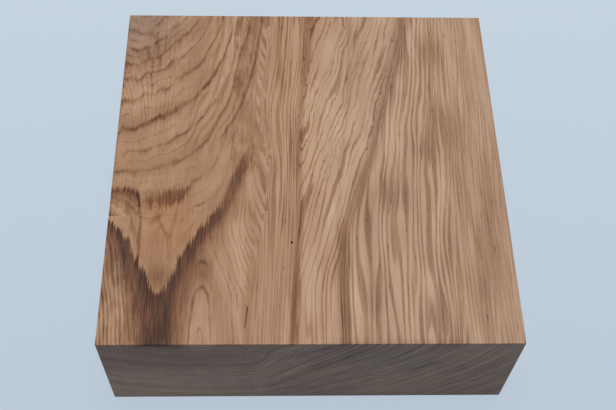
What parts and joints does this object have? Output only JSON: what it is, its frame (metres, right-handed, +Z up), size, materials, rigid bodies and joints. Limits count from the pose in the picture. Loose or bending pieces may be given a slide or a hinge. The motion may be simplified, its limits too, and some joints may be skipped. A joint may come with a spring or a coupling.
{
  "type": "wood turning blank",
  "caption": "Square block of figured hardwood with sawn end grain, a blank to be turned into a bowl or dish on a lathe.",
  "frame": {"origin": "middle of the base, on the surface that the blank stands on", "axes": "+Z up through the thickness, +Y along the grain towards the back, +X across the grain to the right"},
  "size_m": [0.15, 0.1526, 0.0495],
  "materials": {
    "figured_hardwood": "planed, unsealed, matt"
  },
  "bodies": {
    "root": {"turning_blank": "figured_hardwood"}
  },
  "joints": []
}
